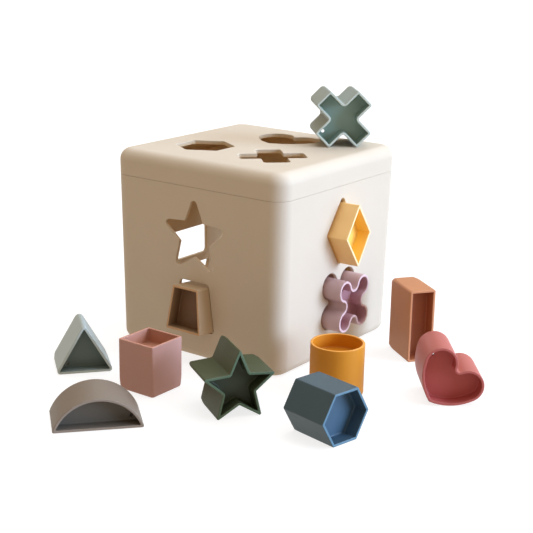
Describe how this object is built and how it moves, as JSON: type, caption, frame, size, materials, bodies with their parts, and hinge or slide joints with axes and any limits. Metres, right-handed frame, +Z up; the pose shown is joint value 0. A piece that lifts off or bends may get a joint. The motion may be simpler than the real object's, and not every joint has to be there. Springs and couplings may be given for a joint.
{
  "type": "shape sorter",
  "caption": "Cube-shaped shape sorter: a cream tub with shape holes in its walls and lift-off lid, and loose hollow shapes that pass through the matching holes.",
  "frame": {"origin": "centre of the tub's underside, on the surface it stands on", "axes": "+Z up through the lid; -Y is the wall with the star hole, +X the wall with the rhombus hole"},
  "size_m": [0.2634, 0.2848, 0.172],
  "materials": {
    "cream": "satin moulded plastic",
    "sage_teal": "soft matte plastic",
    "amber": "soft matte plastic",
    "lilac": "soft matte plastic",
    "tan": "soft matte plastic",
    "pale_sage": "soft matte plastic",
    "taupe": "soft matte plastic",
    "dusty_pink": "soft matte plastic",
    "forest": "soft matte plastic",
    "mustard": "soft matte plastic",
    "slate_blue": "soft matte plastic",
    "terracotta": "soft matte plastic",
    "rose": "soft matte plastic"
  },
  "bodies": {
    "tub": {"box_body": "cream"},
    "lid": {"lid": "cream"},
    "cross": {"cross_shape": "sage_teal"},
    "rhombus": {"rhombus_shape": "amber"},
    "clover": {"clover_shape": "lilac"},
    "trapezoid": {"trapezoid_shape": "tan"},
    "triangle": {"triangle_shape": "pale_sage"},
    "half_round": {"half_round_shape": "taupe"},
    "square": {"square_shape": "dusty_pink"},
    "star": {"star_shape": "forest"},
    "cylinder": {"cylinder_shape": "mustard"},
    "hexagon": {"hexagon_shape": "slate_blue"},
    "rectangle": {"rectangle_shape": "terracotta"},
    "heart": {"heart_shape": "rose"}
  },
  "joints": [
    {"name": "lid_lift", "type": "slide", "parent": "tub", "child": "lid", "axis": [0, 0, 1], "range_m": [0, 0.12]},
    {"name": "cross_lift", "type": "slide", "parent": "lid", "child": "cross", "axis": [0, 0, 1], "range_m": [0, 0.08]},
    {"name": "rhombus_push", "type": "slide", "parent": "tub", "child": "rhombus", "axis": [0.9998, 0, 0.02], "range_m": [-0.02, 0.05]},
    {"name": "clover_push", "type": "slide", "parent": "tub", "child": "clover", "axis": [1, 0, 0], "range_m": [-0.02, 0.028]},
    {"name": "trapezoid_push", "type": "slide", "parent": "tub", "child": "trapezoid", "axis": [0, -0.996, 0.0899], "range_m": [-0.02, 0.025]},
    {"name": "triangle_lift", "type": "slide", "parent": "tub", "child": "triangle", "axis": [0, 0, 1], "range_m": [0, 0.15]},
    {"name": "half_round_lift", "type": "slide", "parent": "tub", "child": "half_round", "axis": [0, 0, 1], "range_m": [0, 0.15]},
    {"name": "square_lift", "type": "slide", "parent": "tub", "child": "square", "axis": [0, 0, 1], "range_m": [0, 0.15]},
    {"name": "star_lift", "type": "slide", "parent": "tub", "child": "star", "axis": [0, 0, 1], "range_m": [0, 0.15]},
    {"name": "cylinder_lift", "type": "slide", "parent": "tub", "child": "cylinder", "axis": [0, 0, 1], "range_m": [0, 0.15]},
    {"name": "hexagon_lift", "type": "slide", "parent": "tub", "child": "hexagon", "axis": [0, 0, 1], "range_m": [0, 0.15]},
    {"name": "rectangle_lift", "type": "slide", "parent": "tub", "child": "rectangle", "axis": [0, 0, 1], "range_m": [0, 0.15]},
    {"name": "heart_lift", "type": "slide", "parent": "tub", "child": "heart", "axis": [0, 0, 1], "range_m": [0, 0.15]}
  ]
}
